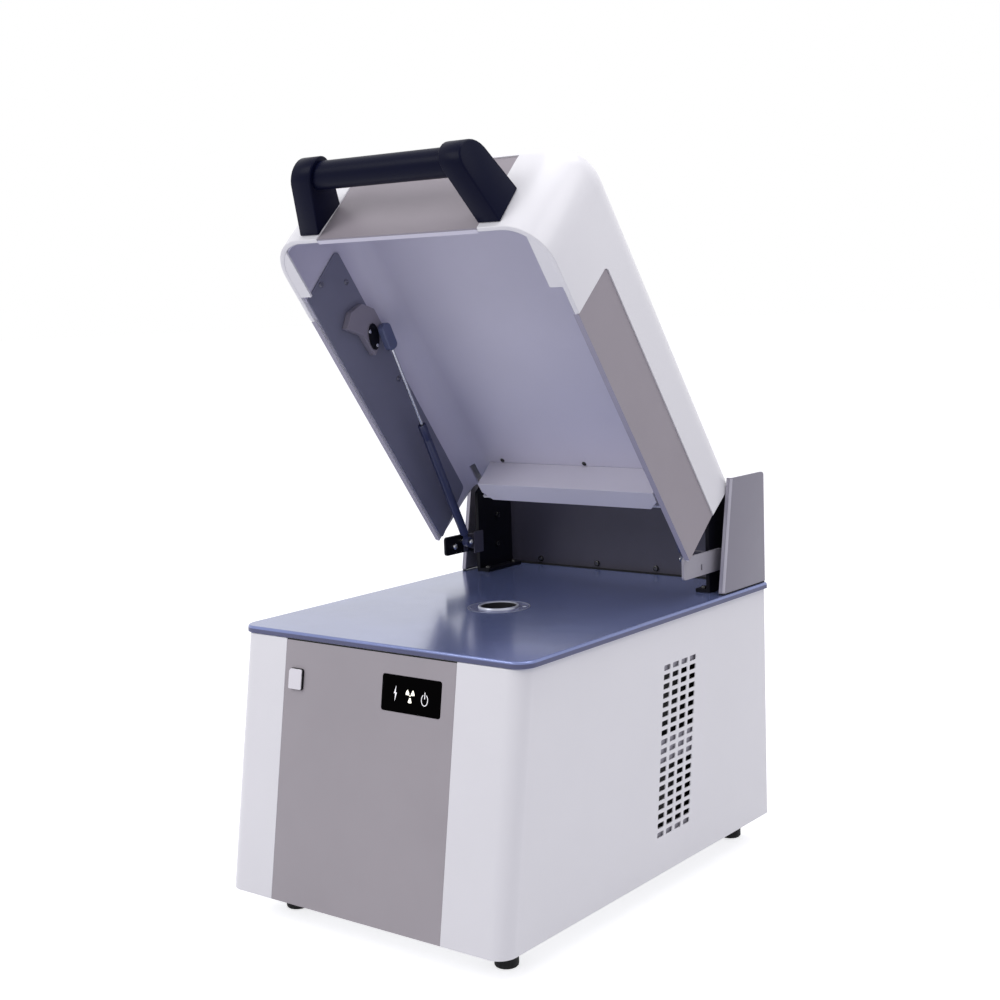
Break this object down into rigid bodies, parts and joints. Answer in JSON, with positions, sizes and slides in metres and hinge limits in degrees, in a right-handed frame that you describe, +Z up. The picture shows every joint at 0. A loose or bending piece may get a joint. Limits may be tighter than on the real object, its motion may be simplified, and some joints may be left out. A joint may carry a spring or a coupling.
{
  "type": "x-ray fluorescence analyzer",
  "caption": "Benchtop x-ray fluorescence analyzer with a hinged shielding lid on gas struts over a deck with a measuring aperture, in a vented housing with a display and a push button.",
  "frame": {"origin": "on the table, in the middle of the base's footprint of 400 by 546 mm", "axes": "+X to the right of someone facing the front, +Y to the rear, +Z up"},
  "size_m": [0.4, 0.546, 0.8394],
  "materials": {
    "shell_white": "satin",
    "fascia_taupe": "satin",
    "inlay_taupe": "satin",
    "deck_blue": "satin",
    "liner_grey": "satin",
    "plate_slate": "satin",
    "riser_grey": "satin",
    "riser_dark": "satin",
    "flange_grey": "satin",
    "hinge_black": "satin",
    "handle_navy": "satin",
    "fitting_navy": "satin",
    "foot_rubber": "matte",
    "window_black": "gloss",
    "button_white": "satin",
    "stage_steel": "satin",
    "ring_bright": "polished",
    "film_clear": "gloss",
    "lamp_lens": "gloss",
    "pin_steel": "satin",
    "pan_zinc": "satin",
    "panel_grey": "satin",
    "plastic_black": "satin",
    "head_aluminium": "satin",
    "tube_nickel": "satin",
    "board_green": "satin"
  },
  "bodies": {
    "base": {"housing_shell": "shell_white", "front_fascia": "fascia_taupe", "display_window": "window_black", "switch_body": "plastic_black", "deck_plate": "deck_blue", "stage_insert": "stage_steel", "aperture_ring": "ring_bright", "status_lamp": "lamp_lens", "beam_window": "film_clear", "base_pan": "pan_zinc", "foot_front_right": "foot_rubber", "foot_front_left": "foot_rubber", "foot_rear_right": "foot_rubber", "foot_rear_left": "foot_rubber", "rear_panel": "panel_grey", "power_inlet": "plastic_black", "switch_bezel": "plastic_black", "fan_frame": "plastic_black", "riser": "riser_grey", "riser_gasket": "foot_rubber", "riser_plate": "riser_dark", "hinge_plate_right": "hinge_black", "hinge_plate_left": "hinge_black", "hinge_pin_right": "pin_steel", "hinge_pin_left": "pin_steel", "strut_bracket_right": "flange_grey", "strut_bracket_left": "hinge_black", "optics_block": "head_aluminium", "xray_tube": "tube_nickel", "detector": "head_aluminium", "hv_generator": "head_aluminium", "power_supply": "pan_zinc", "main_board": "board_green"},
    "button": {"power_button": "button_white"},
    "rocker": {"rocker_switch": "plastic_black"},
    "rotor": {"fan_rotor": "plastic_black"},
    "shutter": {"shutter_slide": "ring_bright"},
    "lid": {"lid_shell": "shell_white", "side_inlay_right": "inlay_taupe", "side_inlay_left": "inlay_taupe", "front_inlay": "inlay_taupe", "lid_liner": "liner_grey", "inner_plate_right": "plate_slate", "inner_plate_left": "plate_slate", "rear_flange": "flange_grey", "hinge_arm_right": "hinge_black", "hinge_arm_left": "hinge_black", "handle_bracket_right": "handle_navy", "handle_bracket_left": "handle_navy", "handle_tube": "handle_navy", "strut_block_right": "flange_grey", "strut_block_left": "flange_grey", "strut_keeper_right": "hinge_black", "strut_keeper_left": "hinge_black"},
    "cylinder_right": {"strut_cylinder_right": "fitting_navy"},
    "cylinder_left": {"strut_cylinder_left": "fitting_navy"},
    "rod_right": {"strut_rod_right": "fitting_navy"},
    "rod_left": {"strut_rod_left": "fitting_navy"}
  },
  "joints": [
    {"name": "lid_hinge", "type": "hinge", "parent": "base", "child": "lid", "pos_m": [0, 0.2048, 0.4506], "axis": [1, 0, 0], "range_deg": [0, 53.92]},
    {"name": "strut_turn_right", "type": "hinge", "parent": "base", "child": "cylinder_right", "pos_m": [0.1635, 0.1399, 0.3715], "axis": [1, 0, 0], "range_deg": [0, 55.5]},
    {"name": "strut_turn_left", "type": "hinge", "parent": "base", "child": "cylinder_left", "pos_m": [-0.1635, 0.1399, 0.3715], "axis": [1, 0, 0], "range_deg": [0, 55.5]},
    {"name": "strut_slide_right", "type": "slide", "parent": "cylinder_right", "child": "rod_right", "axis": [0, -0.4566, 0.8897], "range_m": [-0.0926, 0]},
    {"name": "strut_slide_left", "type": "slide", "parent": "cylinder_left", "child": "rod_left", "axis": [0, -0.4566, 0.8897], "range_m": [-0.0926, 0]},
    {"name": "button_press", "type": "slide", "parent": "base", "child": "button", "axis": [0, 0.9876, -0.1573], "range_m": [0, 0.0025], "stiffness_N_per_m": 600},
    {"name": "rocker_tilt", "type": "hinge", "parent": "base", "child": "rocker", "pos_m": [0.062, 0.2685, 0.1], "axis": [1, 0, 0], "range_deg": [0, 12]},
    {"name": "fan_spin", "type": "hinge", "parent": "base", "child": "rotor", "pos_m": [-0.085, 0.2474, 0.2], "axis": [0, 1, 0], "continuous": true},
    {"name": "shutter_travel", "type": "slide", "parent": "base", "child": "shutter", "axis": [-1, 0, 0], "range_m": [0, 0.03], "stiffness_N_per_m": 50}
  ],
  "couplings": [
    {"joint": "strut_turn_right", "follows": "lid_hinge", "ratio": 1.0286},
    {"joint": "strut_turn_left", "follows": "lid_hinge", "ratio": 1.0286},
    {"joint": "strut_slide_right", "follows": "lid_hinge", "m_per_rad": -0.098319},
    {"joint": "strut_slide_left", "follows": "lid_hinge", "m_per_rad": -0.098319}
  ]
}
